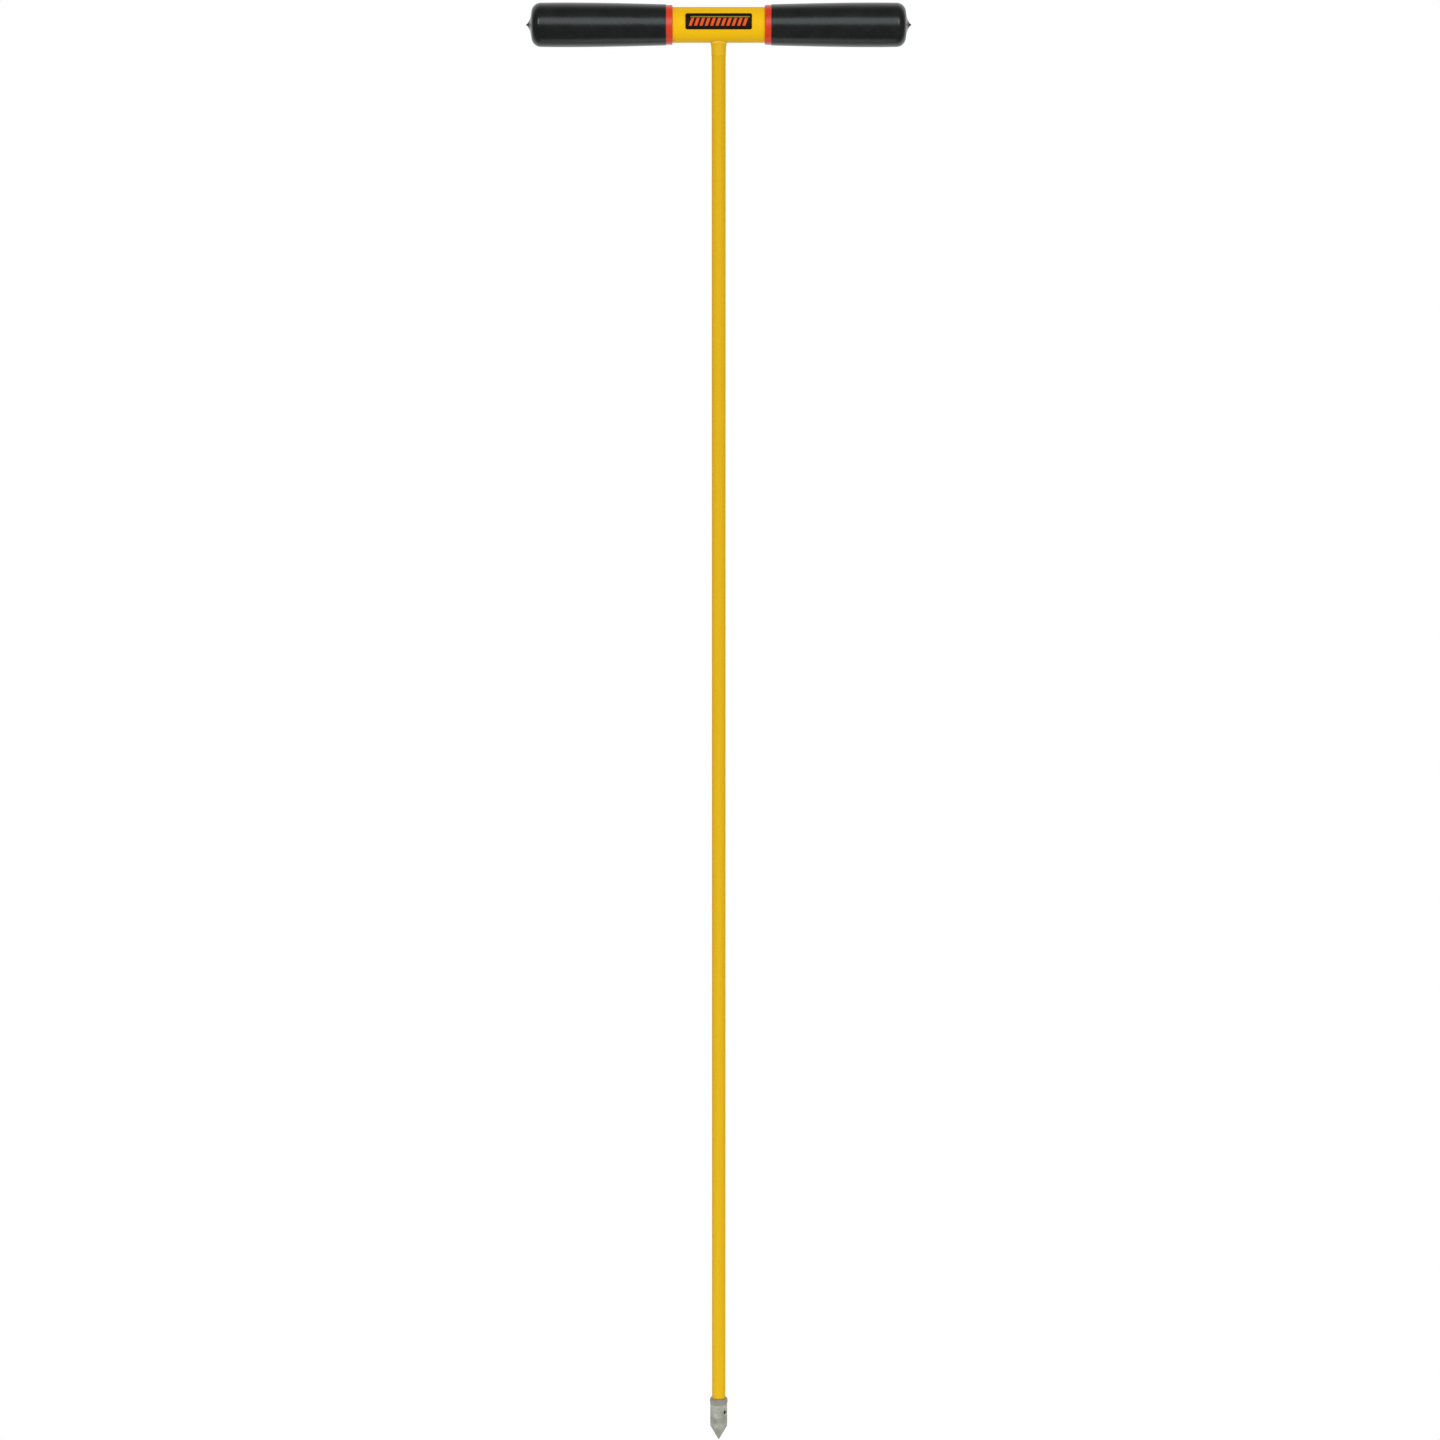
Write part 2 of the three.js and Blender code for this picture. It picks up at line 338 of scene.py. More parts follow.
casting, place = started("cast_resin")
bubbles = place.node(
    "ShaderNodeTexVoronoi", {"feature": "F1"}, {"Vector": place, "Scale": 1 / bubble_size}, "Distance"
)
surfaced(
    place,
    {
        "Base Color": between(grain(place, resin_cloud_size), paint(*resin_light), paint(*resin_dark)),
        "Roughness": resin_roughness + resin_roughness_spread * grain(place, resin_sheen_size),
        "Normal": relief(step(bubbles, bubble_middle, bubble_edge), bubble_depth),
    },
)
for node in ("joint_plug", "left_end_plug", "right_end_plug"):
    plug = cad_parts[node]
    plug.data.materials.clear()
    plug.data.materials.append(casting)


# Under-grips
# The first dip: each end of the tube is warmed and dipped in liquid orange vinyl, which sets as a
# closed sleeve. Only its inner edge shows, as a ring beside the black grip.

under_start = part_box("right_under_grip")[0].x
under_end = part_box("right_under_grip")[1].x
under_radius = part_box("right_under_grip")[1].z
under_bore = tube_radius + bond_gap
under_seat = tube_half + bond_gap
under_edge = 0.8 * mm
under_corner = 3 * mm

vinyl_orange = (225, 55, 16)
worn_orange = (216, 56, 20)
vinyl_sheen = (0.9, 1, 1.04, 1)

bloom_size = 12 * mm
peel_size = 1.1 * mm
wave_size = 16 * mm
wave_run = 0.5
dust_size = 0.5 * mm
skin_depth = 0.35 * mm
bloom_starts = 0.35
bloom_full = 0.7
dust_starts = 0.62
dust_full = 0.72
orange_roughness = 0.24
bloom_roughness = 0.08
dust_roughness = 0.1
vinyl_specular = 0.65
peel_relief = 0.03
wave_relief = 0.9
dust_relief = 0.015


def dipped(name, fresh, worn, roughness):
    """Dipped vinyl: an even colour with a little bloom, slow waves, and a fine orange-peel skin"""
    material, place = started(name)
    bloom = grain(place, bloom_size, detail=4.0)
    peel = grain(place, peel_size, detail=1.0)
    waves = grain(scaled(place, (wave_run, 1, 1)), wave_size, detail=1.0)
    dust = step(grain(place, dust_size, detail=3.0), dust_starts, dust_full)
    faded = step(bloom, bloom_starts, bloom_full)
    skin = peel_relief * peel + wave_relief * waves + dust_relief * dust
    surfaced(
        place,
        {
            "Base Color": between(faded, paint(*fresh), paint(*worn)),
            "Roughness": roughness + bloom_roughness * bloom + dust_roughness * dust,
            "Specular IOR Level": vinyl_specular,
            "Specular Tint": vinyl_sheen,
            "Normal": relief(skin, skin_depth),
        },
    )
    return material


def mirrored(made):
    """Turns a piece made for the right end half round the rod's axis, for the left end"""
    made.data.transform(Matrix.Rotation(pi, 4, "Z"))


orange_vinyl = dipped("orange_vinyl", vinyl_orange, worn_orange, orange_roughness)
under_outline = eased(
    [
        (under_seat, 0, 0),
        (under_seat, under_bore, 0),
        (under_start, under_bore, 0),
        (under_start, under_radius, under_edge),
        (under_end, under_radius, under_corner),
        (under_end, 0, 0),
    ]
)
for side in ("left", "right"):
    under_grip = turned(f"{side}_orange_sleeve", under_outline, along_handle, tube_steps)
    if side == "left":
        mirrored(under_grip)
    fitted(under_grip, f"{side}_under_grip", orange_vinyl)


# Grips
# The second dip, in black vinyl, over all but the ring. The coat sags towards the end that hangs
# down, so the grip swells fast from a thin lip, and the last drop leaves a pointed nub.

grip_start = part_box("right_grip")[0].x
grip_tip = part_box("right_grip")[1].x
grip_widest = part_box("right_grip")[1].z
grip_lip_wall = 0.45 * mm
grip_lip_edge = 0.3 * mm
grip_taper = 0.16 * mm
grip_end_wall = 3.2 * mm
grip_corner = 7.8 * mm
drip_radius = 0.8 * mm
nub_flare_power = 4
grip_widest_share = 0.77
swell_steps = 40
taper_steps = 10
grip_corner_steps = 24
nub_steps = 18

vinyl_black = (23, 23, 22)
worn_black = (29, 29, 27)
black_roughness = 0.22

grip_bore = under_radius + bond_gap
grip_lip = grip_bore + grip_lip_wall
grip_end = under_end + bond_gap + grip_end_wall
grip_face = grip_widest - grip_taper - grip_corner
nub_height = grip_tip - drip_radius - grip_end


def grip_outline():
    """From the cavity's end, round the lip and out to the last drop on the axis"""
    seat = under_end + bond_gap
    inside_corner = under_corner + bond_gap
    swell_start = grip_start + grip_lip_edge
    widest = grip_start + (grip_end - grip_start) * grip_widest_share
    corner_start = grip_end - grip_corner
    outline = [(seat, 0)]
    outline += arc((seat - inside_corner, grip_bore - inside_corner), inside_corner, 0, 90)
    outline += [(grip_start, grip_bore)]
    outline += arc((swell_start, grip_lip - grip_lip_edge), grip_lip_edge, 180, 90)
    for i in range(1, swell_steps + 1):
        share = i / swell_steps
        swell = (grip_widest - grip_lip) * sin(pi / 2 * share)
        outline.append((swell_start + (widest - swell_start) * share, grip_lip + swell))
    for i in range(1, taper_steps):
        share = i / taper_steps
        drop = grip_taper * (1 - cos(pi / 2 * share))
        outline.append((widest + (corner_start - widest) * share, grip_widest - drop))
    lean = degrees(atan(pi / 2 * grip_taper / (corner_start - widest)))
    outline += arc((corner_start, grip_face), grip_corner, 90 - lean, 0, grip_corner_steps)
    for i in range(1, nub_steps):
        remaining = 1 - i / nub_steps
        spread = (remaining + remaining**nub_flare_power) / 2
        radius = drip_radius + (grip_face - drip_radius) * spread
        outline.append((grip_end + nub_height * (1 - remaining), radius))
    outline += arc((grip_tip - drip_radius, 0), drip_radius, 90, 0)
    outline[-1] = (grip_tip, 0)
    return outline


black_vinyl = dipped("black_vinyl", vinyl_black, worn_black, black_roughness)
for side in ("left", "right"):
    grip = turned(f"{side}_black_grip", grip_outline(), along_handle, tube_steps)
    if side == "left":
        mirrored(grip)
    fitted(grip, f"{side}_grip", black_vinyl)


# Probe rod
# The same glass fibre as a solid rod, sawn and lightly chamfered. Its top end is glued into the
# plug inside the cross tube, and its lower end is pinned in the tip.

rod_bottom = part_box("probe_rod")[0].z
rod_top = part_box("probe_rod")[1].z
rod_chamfer = 0.5 * mm
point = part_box("steel_tip")[0].z
tip_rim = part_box("steel_tip")[1].z
tip_radius = 7.3 * mm
collar_step = 0.25 * mm
pin_radius = 1.6 * mm
pin_below_rim = 12 * mm
pin_turn = radians(48)
pin_steps = 48

rod_yellows = (221, 175, 20), (225, 179, 23), (229, 183, 26)

pin_height = tip_rim - pin_below_rim


def pin_hole():
    """A cutter for the pin's hole, right through the tip and the rod"""
    half = tip_radius + collar_step + overrun
    cutter = bar(pin_radius + bond_gap, -half, half, pin_steps)
    cutter.data.transform(Matrix.Rotation(pi / 2, 4, "X"))
    cutter.data.transform(Matrix.Rotation(pin_turn, 4, "Z"))
    cutter.data.transform(Matrix.Translation((0, 0, pin_height)))
    return cutter


pin_clear = 2 * pin_radius
rod = turned(
    "glass_fibre_rod",
    [
        (rod_bottom, 0),
        (rod_bottom, rod_radius - rod_chamfer),
        (rod_bottom + rod_chamfer, rod_radius),
        (pin_height - pin_clear, rod_radius),
        (pin_height + pin_clear, rod_radius),
        (rod_top - rod_chamfer, rod_radius),
        (rod_top, rod_radius - rod_chamfer),
        (rod_top, 0),
    ],
    along_rod,
    rod_steps,
)
drilled(rod, pin_hole())
rod_finish = fibreglass("rod_glass_fibre", rod_yellows, (1, 1, fibre_run))
fitted(rod, "probe_rod", rod_finish)


# Joint bead
# Yellow adhesive that came out of the joint and was wiped down the rod as a thin sleeve with an
# uneven lower edge. The small roll left against the tube is painted paler, as a painted highlight.

bead_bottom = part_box("joint_bead")[0].z
bead_height = -under_bore - bead_bottom
bead_lip = 0.1 * mm
bead_wall = 0.25 * mm
bead_flare = 1.05 * mm
bead_flare_power = 8
bead_roll = 0.5 * mm
bead_fit_power = 3
bead_ragged = 1.3 * mm
bead_ragged_power = 4
bead_waves = (2, 0), (5, 1)
bead_steps = 40

adhesive_yellow = (233, 189, 25)
adhesive_shade = (224, 178, 20)
# The paler colour below is a painted highlight on the roll against the tube.
adhesive_painted_highlight = (255, 224, 120)

lump_size = 2.5 * mm
lump_depth = 0.06 * mm
roll_reach = 0.5 * mm
roll_fade = 0.5 * mm
adhesive_roughness = 0.4
roll_gloss = 0.14
lump_roughness = 0.12
adhesive_specular = 0.2


def length(place):
    """How far a place lies from the origin"""
    return place.node("ShaderNodeVectorMath", {"operation": "LENGTH"}, {0: place}, "Value")


bead_inside = rod_radius + bond_gap
bead_outline = [(bead_bottom, bead_inside)]
for i in range(bead_steps + 1):
    rise = bead_height * sin(pi / 2 * i / bead_steps)
    share = min(rise / (bead_height - bead_roll), 1)
    in_roll = max(rise / bead_roll + 1 - bead_height / bead_roll, 0)
    wall = bead_lip + (bead_wall - bead_lip) * sin(pi / 2 * share)
    flare = (bead_flare - bead_wall) * share**bead_flare_power
    rounding = bead_roll * (1 - sqrt(1 - min(in_roll, 1) ** 2))
    bead_outline.append((bead_bottom + rise, bead_inside + wall + flare - rounding))
bead_outline.append((-under_bore, bead_inside))
bead = turned("adhesive_bead", bead_outline, along_rod, rod_steps)
for spot in bead.data.vertices:
    share = (spot.co.z - bead_bottom) / bead_height
    spot.co.z += share**bead_fit_power * (under_bore - sqrt(under_bore**2 - spot.co.y**2))
    around = atan2(spot.co.y, spot.co.x)
    waves = [1 + sin(count * around + phase) for count, phase in bead_waves]
    uneven = sum(waves) / 2 / len(waves)
    spot.co.z += (1 - share) ** bead_ragged_power * bead_ragged * uneven

adhesive, place = started("yellow_adhesive")
lumps = grain(place, lump_size)
off_tube = length(scaled(place, (0, 1, 1))) - under_bore
# The roll against the tube gets a painted highlight: a paler colour, as well as less roughness.
on_roll = 1 - step(off_tube, roll_reach, roll_reach + roll_fade)
colour = between(lumps, paint(*adhesive_yellow), paint(*adhesive_shade))
surfaced(
    place,
    {
        "Base Color": between(on_roll, colour, paint(*adhesive_painted_highlight)),
        "Roughness": adhesive_roughness - roll_gloss * on_roll + lump_roughness * lumps,
        "Specular IOR Level": adhesive_specular,
        "Normal": relief(lumps, lump_depth),
    },
)
fitted(bead, "joint_bead", adhesive)


# Front label
# A strip of black vinyl film with rounded corners, printed with a band of slanted orange stripes
# under a thin amber line. It is stuck on the tube's front, a little above the middle.

label_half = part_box("front_label")[1].x
label_height = 13.7 * mm
label_thickness = 0.25 * mm
label_corner = 1.5 * mm
label_lift = radians(12.6)
label_bends = 24
film_edge = 0.05 * mm
film_edge_steps = 2

film_black = (28, 19, 12)
print_orange = (231, 86, 22)
print_amber = (142, 127, 53)

stripes = 11
stripe_pitch = 4.4 * mm
stripe_width = 2.3 * mm
stripe_slant = 0.35
band_height = 6.3 * mm
band_drop = 0.68 * mm
line_height = 0.9 * mm
line_rise = 3.55 * mm
print_edge = 0.12 * mm
print_wander = 0.12 * mm
wander_size = 0.4 * mm

scuff_size = 0.5 * mm
scuff_run = 0.2
film_depth = 0.02 * mm
film_roughness = 0.4
scuff_roughness = 0.12
ink_gloss = 0.06
film_specular = 0.12
ink_relief = 0.6
scuff_relief = 0.5


def rounded(shape, parts, kind, size, steps):
    """Rounds these vertices or edges of a shape by a size"""
    bmesh.ops.bevel(
        shape,
        geom=parts,
        offset=size,
        offset_type="OFFSET",
        segments=steps,
        profile=0.5,
        affect=kind,
        material=-1,
    )


def along(place, axis):
    """How far a place lies along X, Y or Z"""
    return place.node("ShaderNodeSeparateXYZ", {}, {"Vector": place}, axis)


shape = bmesh.new()
bmesh.ops.create_grid(shape, x_segments=1, y_segments=1, size=1)
bmesh.ops.scale(shape, verts=shape.verts, vec=(label_half, label_height / 2, 1))
rounded(shape, shape.verts[:], "VERTICES", label_corner, corner_steps)
for i in range(1, label_bends):
    bmesh.ops.bisect_plane(
        shape,
        geom=shape.verts[:] + shape.edges[:] + shape.faces[:],
        plane_co=(0, label_height * (i / label_bends - 0.5), 0),
        plane_no=(0, 1, 0),
        dist=same_point,
    )
raised = bmesh.ops.extrude_face_region(shape, geom=shape.faces[:])["geom"]
top_faces = [part for part in raised if isinstance(part, bmesh.types.BMFace)]
top_points = [part for part in raised if isinstance(part, bmesh.types.BMVert)]
bmesh.ops.translate(shape, verts=top_points, vec=(0, 0, label_thickness))
bmesh.ops.recalc_face_normals(shape, faces=shape.faces)
top_edges = {edge for face in top_faces for edge in face.edges}
rim = [edge for edge in top_edges if not all(near in top_faces for near in edge.link_faces)]
rounded(shape, rim, "EDGES", film_edge, film_edge_steps)
label_radius = tube_radius + bond_gap
for corner in shape.verts:
    lift = label_lift + corner.co.y / label_radius
    out = label_radius + corner.co.z
    corner.co = (corner.co.x, -out * cos(lift), out * sin(lift))
bmesh.ops.recalc_face_normals(shape, faces=shape.faces)
label = settled("printed_label", shape)

film, place = started("printed_film")
wander = print_wander * (grain(place, wander_size) - 0.5)
across = along(place, "X") + wander
lift = along(place, "Z").maths("ARCTAN2", 0 - along(place, "Y"))
up = (lift - label_lift) * label_radius + wander
slanted = across - stripe_slant * up
in_length = 1 - step(abs(slanted) - stripes * stripe_pitch / 2, 0, print_edge)
in_band = 1 - step(abs(up + band_drop) - band_height / 2, 0, print_edge)
from_stripe = (slanted / stripe_pitch).maths("PINGPONG", 0.5) * stripe_pitch
in_stripe = 1 - step(from_stripe - stripe_width / 2, 0, print_edge)
in_line = 1 - step(abs(up - line_rise) - line_height / 2, 0, print_edge)
ink = in_length * in_band * in_stripe
colour = between(ink, paint(*film_black), paint(*print_orange))
colour = between(in_length * in_line, colour, paint(*print_amber))
scuffs = grain(scaled(place, (scuff_run, 1, 1)), scuff_size, detail=4.0)
surfaced(
    place,
    {
        "Base Color": colour,
        "Roughness": film_roughness + scuff_roughness * scuffs - ink_gloss * ink,
        "Specular IOR Level": film_specular,
        "Normal": relief(ink_relief * ink + scuff_relief * scuffs, film_depth),
    },
)
fitted(label, "front_label", film)


# Steel tip
# Turned from bar, drilled for the rod and hardened: a cone on a plain shank, under a slightly
# larger collar with a rounded shoulder. It is mottled grey, with dark scale down to just below
# the collar, a brown line painted as the shadow of the collar's step, a paler edge above the cone,
# some brown stains, painted shade round the pin and a painted highlight on the pin hole's rim.

tip_nose = 0.6 * mm
tip_cone_angle = 30
collar_height = 4.2 * mm
shoulder_round = 1.5 * mm
socket_depth = 21 * mm
drill_point = radians(59)
cone_edge = 0.5 * mm
socket_edge = 0.2 * mm
tip_steps = 128

steel_light = (200, 204, 194)
steel_grey = (180, 182, 172)
steel_dark = (155, 155, 144)
steel_brown = (152, 137, 116)
steel_painted_glint = (220, 225, 226)
scale_grey = (156, 153, 141)

patch_size = 4.5 * mm
speck_size = 1.1 * mm
patch_tone = 0.6
speck_tone = 0.4
dark_tones = 0.38, 0.52
light_tones = 0.5, 0.64

stain_size = 3.2 * mm
stain_run = 1.6
stain_starts = 0.56
stain_full = 0.68
stain_share = 0.5

scale_drop = 1 * mm
scale_edge = 0.8 * mm
scale_ragged = 1.6 * mm
scale_share = 0.8
# A brown line just under the collar's step, painted as the step's shadow.
step_shadow_reach = 0.6 * mm
step_shadow_share = 0.7

clean_reach = 8 * mm
clean_fade = 3 * mm
clean_edge = 1 * mm
clean_share = 0.4

dark_below_pin = 3 * mm
dark_fade = 4 * mm
dark_share = 0.6

worn_rise = 1 * mm
worn_reach = 1 * mm
worn_fade = 2 * mm
worn_share = 0.4

# Painted shade round the pin: the steel is darkened near its hole.
pin_shade_reach = 1 * mm
pin_shade_fade = 2.4 * mm
pin_shade_share = 0.6

# A painted highlight on the rim of the pin hole, broken up by the specks.
rim_glint_reach = 0.15 * mm
rim_glint_fade = 0.45 * mm
rim_glint_starts = 0.3
rim_glint_full = 0.55

tool_mark_size = 0.3 * mm
tool_mark_run = 0.02
steel_depth = 0.08 * mm
tool_mark_relief = 0.5
speck_relief = 0.8
patch_relief = 0.6
steel_metallic = 0.52
stain_dulling = 0.3
steel_roughness = 0.46
stain_roughness = 0.2
speck_roughness = 0.12

tip_cone = radians(tip_cone_angle)
collar_radius = tip_radius + collar_step
collar_bottom = tip_rim - collar_height
socket_bottom = tip_rim - socket_depth
socket_radius = rod_radius + bond_gap
nose_rise = tip_nose * (1 - sin(tip_cone))
cone_rise = (tip_radius - tip_nose * cos(tip_cone)) / tan(tip_cone)
cone_top = point + nose_rise + cone_rise
nose = arc((point + tip_nose, 0), tip_nose, 180, 90 + tip_cone_angle)
nose[0] = (point, 0)
tip_outline = eased(
    [(*spot, 0) for spot in nose]
    + [
        (cone_top, tip_radius, cone_edge),
        (pin_height - pin_clear, tip_radius, 0),
        (pin_height + pin_clear, tip_radius, 0),
        (collar_bottom - collar_step, tip_radius, 0),
        (collar_bottom, collar_radius, 0),
        (tip_rim, collar_radius, shoulder_round),
        (tip_rim, socket_radius, socket_edge),
        (socket_bottom, socket_radius, 0),
        (socket_bottom - socket_radius / tan(drill_point), 0, 0),
    ]
)
tip = turned("steel_point", tip_outline, along_rod, tip_steps)
drilled(tip, pin_hole())

steel, place = started("mottled_steel")
height = along(place, "Z")
patches = grain(place, patch_size, detail=3.0)
specks = grain(place, speck_size, detail=4.0)
stains = step(grain(scaled(place, (1, 1, stain_run)), stain_size, detail=3.0), stain_starts, stain_full)
tool_marks = grain(scaled(place, (tool_mark_run, tool_mark_run, 1)), tool_mark_size)

scale_end = collar_bottom - scale_drop
clean_end = scale_end - clean_reach
dark_start = pin_height - dark_below_pin
uneven_height = height + scale_ragged * (specks - 0.5)
on_scale = step(uneven_height, scale_end, scale_end + scale_edge)
# Painted shadow: a brown line along the lower edge of the scale, just under the collar's step.
painted_step_shadow = 1 - step(abs(uneven_height - scale_end), 0, step_shadow_reach)
on_clean = step(height, clean_end, clean_end + clean_fade)
on_clean = on_clean * (1 - step(uneven_height, scale_end - clean_edge, scale_end))
on_dark = 1 - step(height, dark_start - dark_fade, dark_start)
on_worn = 1 - step(abs(height - (cone_top + worn_rise)), worn_reach, worn_reach + worn_fade)

along_pin = (sin(pin_turn), -cos(pin_turn), 0)
from_middle = place.node(
    "ShaderNodeVectorMath", {"operation": "SUBTRACT"}, {0: place, 1: (0, 0, pin_height)}
)
off_axis = place.node(
    "ShaderNodeVectorMath", {"operation": "CROSS_PRODUCT"}, {0: from_middle, 1: along_pin}
)
off_pin = length(off_axis) - pin_radius
# Painted shade: the steel darkens within a few millimetres of the pin.
painted_pin_shade = 1 - step(off_pin, pin_shade_reach, pin_shade_reach + pin_shade_fade)
# Painted highlight: a bright ring round the pin hole.
painted_rim_glint = (1 - step(off_pin, rim_glint_reach, rim_glint_reach + rim_glint_fade)) * step(specks, rim_glint_starts, rim_glint_full)

tone = patch_tone * patches + speck_tone * specks
colour = between(step(tone, *dark_tones), paint(*steel_dark), paint(*steel_grey))
colour = between(step(tone, *light_tones), colour, paint(*steel_light))
colour = between(clean_share * on_clean, colour, paint(*steel_light))
colour = between(dark_share * on_dark, colour, paint(*steel_dark))
colour = between(worn_share * on_worn, colour, paint(*steel_light))
colour = between(scale_share * on_scale, colour, paint(*scale_grey))
colour = between(stain_share * stains, colour, paint(*steel_brown))
colour = between(step_shadow_share * painted_step_shadow, colour, paint(*steel_brown))
colour = between(pin_shade_share * painted_pin_shade, colour, paint(*steel_dark))
colour = between(painted_rim_glint, colour, paint(*steel_painted_glint))
texture = tool_mark_relief * tool_marks + speck_relief * specks + patch_relief * patches
surfaced(
    place,
    {
        "Base Color": colour,
        "Metallic": steel_metallic - stain_dulling * stains,
        "Roughness": steel_roughness + stain_roughness * stains + speck_roughness * specks,
        "Normal": relief(texture, steel_depth),
    },
)
fitted(tip, "steel_tip", steel)


# Tip pin
# A slotted spring pin, rolled from dark oiled spring steel and driven through tip and rod. Its
# ends are chamfered and stand a little below the tip's surface.

pin_wall = 0.5 * mm
pin_slot = 0.8 * mm
pin_recess = 0.4 * mm
pin_chamfer = 0.22 * mm
pin_chamfer_steps = 2

pin_dark = (84, 94, 88)
pin_bright = (150, 160, 160)

drawn_size = 0.3 * mm
drawn_depth = 0.01 * mm
drawn_tones = 0.5, 0.7
pin_metallic = 0.9
pin_roughness = 0.3
drawn_roughness = 0.2

pin_half = tip_radius - pin_recess
pin_bore = pin_radius - pin_wall
slot_turn = 2 * asin(pin_slot / 2 / pin_radius)
off_slot = Matrix.Rotation(slot_turn / 2, 3, "Y")
into_hole = Matrix.Rotation(pin_turn, 3, "Z")
wall = [(pin_radius, -pin_half), (pin_radius, pin_half), (pin_bore, pin_half), (pin_bore, -pin_half)]
shape = bmesh.new()
corners = [shape.verts.new((out, along_bore, 0)) for out, along_bore in wall]
shape.faces.new(corners)
rounded(shape, corners[:2], "VERTICES", pin_chamfer, pin_chamfer_steps)
bmesh.ops.rotate(shape, verts=shape.verts, cent=(0, 0, 0), matrix=off_slot)
bmesh.ops.spin(
    shape,
    geom=shape.verts[:] + shape.edges[:] + shape.faces[:],
    cent=(0, 0, 0),
    axis=(0, 1, 0),
    angle=2 * pi - slot_turn,
    steps=pin_steps,
)
bmesh.ops.rotate(shape, verts=shape.verts, cent=(0, 0, 0), matrix=into_hole)
bmesh.ops.translate(shape, verts=shape.verts, vec=(0, 0, pin_height))
bmesh.ops.recalc_face_normals(shape, faces=shape.faces)
pin = settled("spring_pin", shape)

spring_steel, place = started("oiled_spring_steel")
drawn = grain(place, drawn_size, detail=3.0)
surfaced(
    place,
    {
        "Base Color": between(step(drawn, *drawn_tones), paint(*pin_dark), paint(*pin_bright)),
        "Metallic": pin_metallic,
        "Roughness": pin_roughness + drawn_roughness * drawn,
        "Normal": relief(drawn, drawn_depth),
    },
)
fitted(pin, "tip_pin", spring_steel)


# Studio floor and backdrop
# A round pale floor under the point and a surround. Seen straight on both are white, and the
# floor keeps the probe's faint shadow. In reflections the floor is plain matt, and the surround
# is white behind the probe and dim in front.

floor_radius = 0.25
floor_drop = 0.2 * mm
floor_steps = 128
floor_white = 0.9
floor_shine = 0.85
floor_glow = 1.1
floor_mirrored = 0.1
surround_light = 0.615
surround_front = 0.1
surround_side = 0.8

rays = ["Is Camera Ray", "Is Glossy Ray", "Is Transmission Ray"]
white = (1, 1, 1, 1)

shape = bmesh.new()
bmesh.ops.create_circle(shape, cap_ends=True, radius=floor_radius, segments=floor_steps)
bmesh.ops.translate(shape, verts=shape.verts, vec=(0, 0, point - floor_drop))
floor = settled("studio_floor", shape)
pale, place = started("pale_floor")
seen, glossy, through = [place.node("ShaderNodeLightPath", {}, {}, ray) for ray in rays]
shown = seen.maths("MAXIMUM", floor_mirrored * glossy.maths("MAXIMUM", through))
matt = place.node("ShaderNodeBsdfDiffuse", {}, {"Color": (floor_white, floor_white, floor_white, 1)})
bright = place.node("ShaderNodeEmission", {}, {"Color": white, "Strength": floor_glow})
surface = place.node("ShaderNodeMixShader", {}, {0: floor_shine * shown, 1: matt, 2: bright})
surface.node("ShaderNodeOutputMaterial", {}, {"Surface": surface})
floor.data.materials.append(pale)

world = bpy.data.worlds.new("studio")
bpy.context.scene.world = world
world.use_nodes = True
world.node_tree.nodes.clear()
source = world.node_tree.nodes.new("ShaderNodeTexCoord")
direction = Wire(source.outputs["Generated"])
seen, glossy, through = [direction.node("ShaderNodeLightPath", {}, {}, ray) for ray in rays]
reflected = glossy.maths("MAXIMUM", through)
behind = step(along(direction, "Y"), 0, surround_side)
mirrored_light = surround_front + (1 - surround_front) * behind
unseen = reflected * mirrored_light + (1 - reflected) * surround_light
strength = seen + (1 - seen) * unseen
surround = direction.node("ShaderNodeBackground", {}, {"Color": white, "Strength": strength})
surround.node("ShaderNodeOutputWorld", {}, {"Surface": surround})


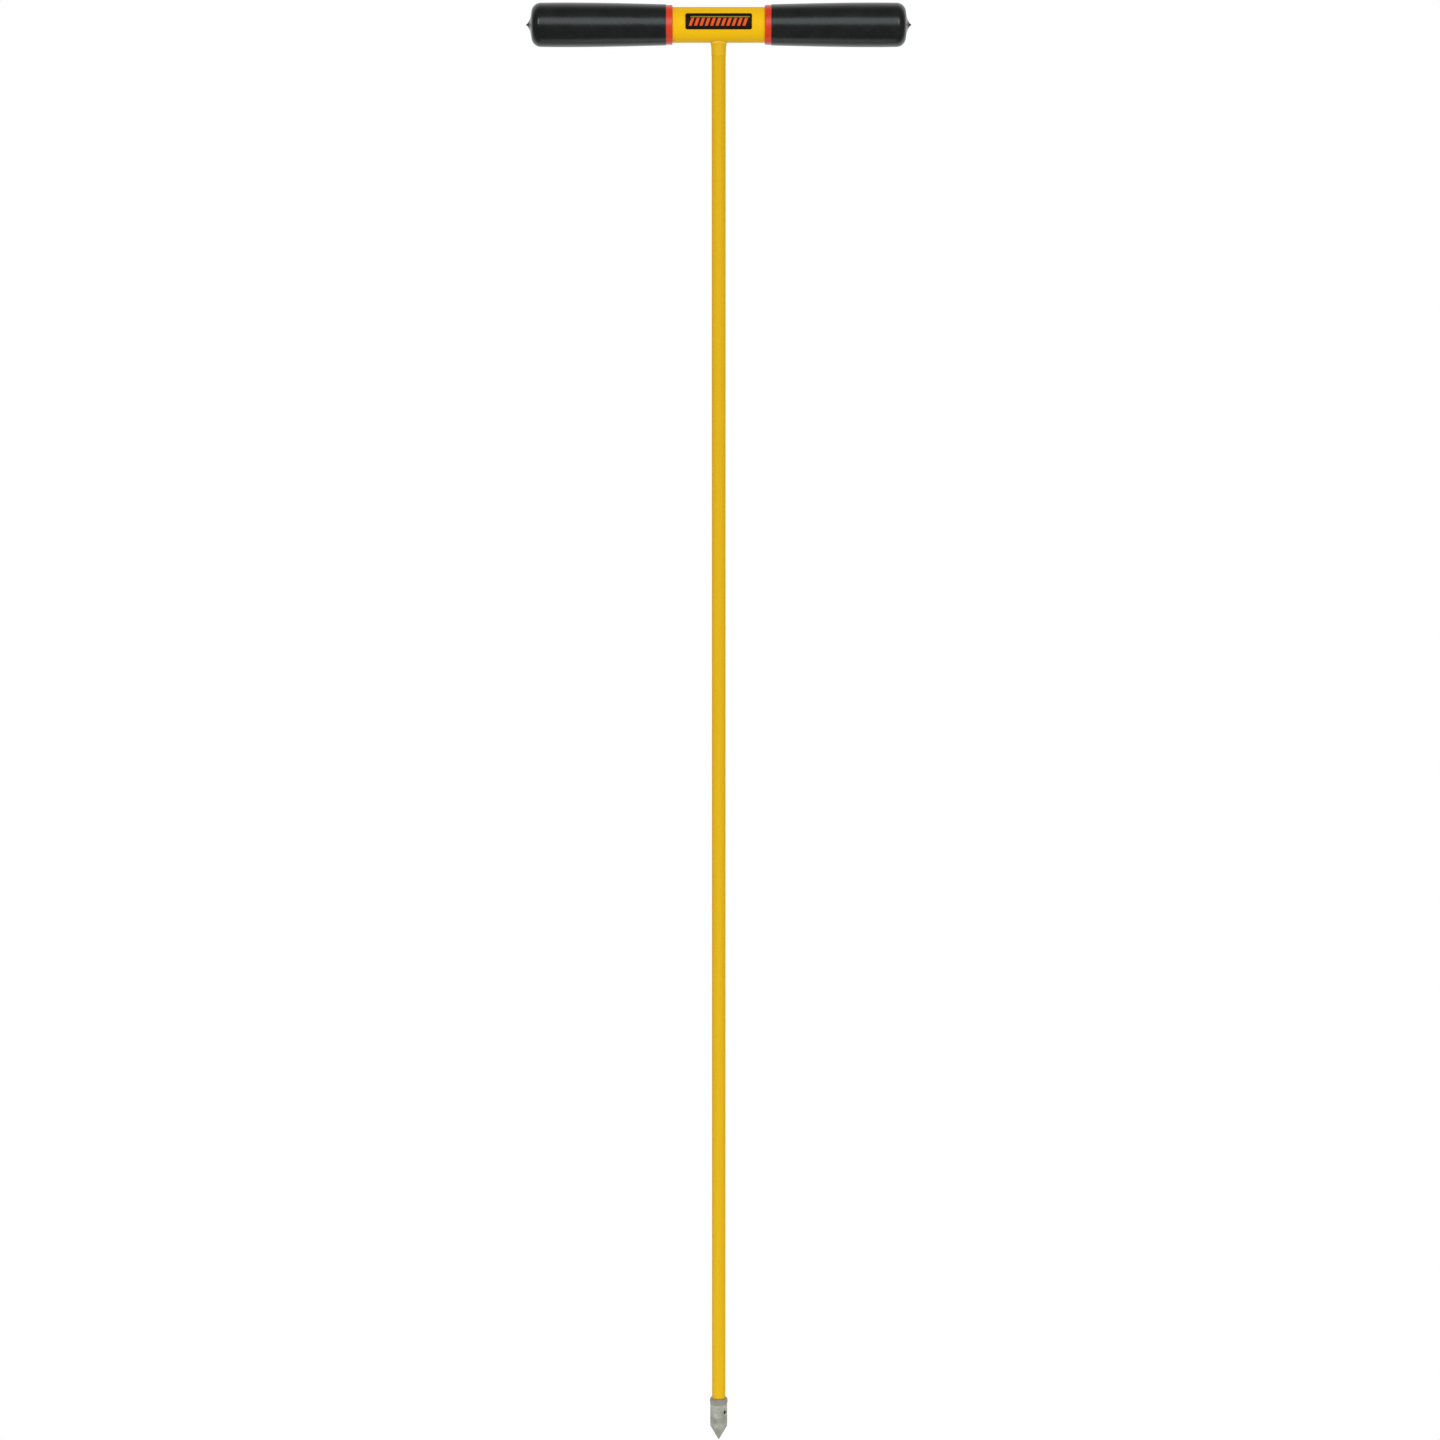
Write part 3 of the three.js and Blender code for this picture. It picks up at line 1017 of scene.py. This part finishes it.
# Lamps
# A softbox over the camera gives the broad highlight along the grips, and one on each side the
# bright spots on their rounded ends. A low one in front evens out the rod, and one behind lights
# the back. Both of these are kept out of reflections.

key_box = {"aim": 0, "distance": 2.5, "width": 1.2, "height": 1.5, "turn": 0, "rise": 20.5, "radiance": 1.5}
side_box = {"aim": 0, "distance": 2.6, "width": 0.45, "height": 1.0, "rise": 18, "radiance": 6.8}
side_turn = 25
low_box = {"aim": -1.1, "distance": 1.0, "width": 1.4, "height": 0.3, "turn": 0, "rise": 0, "radiance": 2.25}
back_box = {"aim": -0.5, "distance": 2.6, "width": 2, "height": 2, "turn": 180, "rise": 15, "radiance": 2.2}


def softbox(name, aim, distance, width, height, turn, rise, radiance):
    """A flat lamp that faces a height on the rod, turned right of the front and raised, in degrees"""
    light = bpy.data.lights.new(name, "AREA")
    light.shape = "RECTANGLE"
    light.size = width
    light.size_y = height
    light.energy = radiance * pi * width * height
    lamp = bpy.data.objects.new(name, light)
    turn, rise = radians(turn), radians(rise)
    away = Vector((sin(turn) * cos(rise), -cos(turn) * cos(rise), sin(rise)))
    lamp.location = aim * along_rod + distance * away
    lamp.rotation_euler = away.to_track_quat("Z", "Y").to_euler()
    lamp.visible_camera = False
    bpy.context.scene.collection.objects.link(lamp)
    return lamp


softbox("key_softbox", **key_box)
softbox("left_softbox", turn=-side_turn, **side_box)
softbox("right_softbox", turn=side_turn, **side_box)
softbox("low_softbox", **low_box).visible_glossy = False
softbox("back_softbox", **back_box).visible_glossy = False


# Camera
# It stands in front at the height of the handle, and looks down far enough to take in the point.

camera_side = 1.1 * mm
camera_back = 3.953
camera_dip = 8.31
camera_lens = 118.98
camera_sensor = 36

view = bpy.data.cameras.new("camera")
view.lens = camera_lens
view.sensor_width = camera_sensor
camera = bpy.data.objects.new("camera", view)
camera.location = (camera_side, -camera_back, 0)
camera.rotation_euler = (radians(90 - camera_dip), 0, 0)
bpy.context.scene.collection.objects.link(camera)
bpy.context.scene.camera = camera
bpy.context.scene.view_settings.view_transform = "Standard"
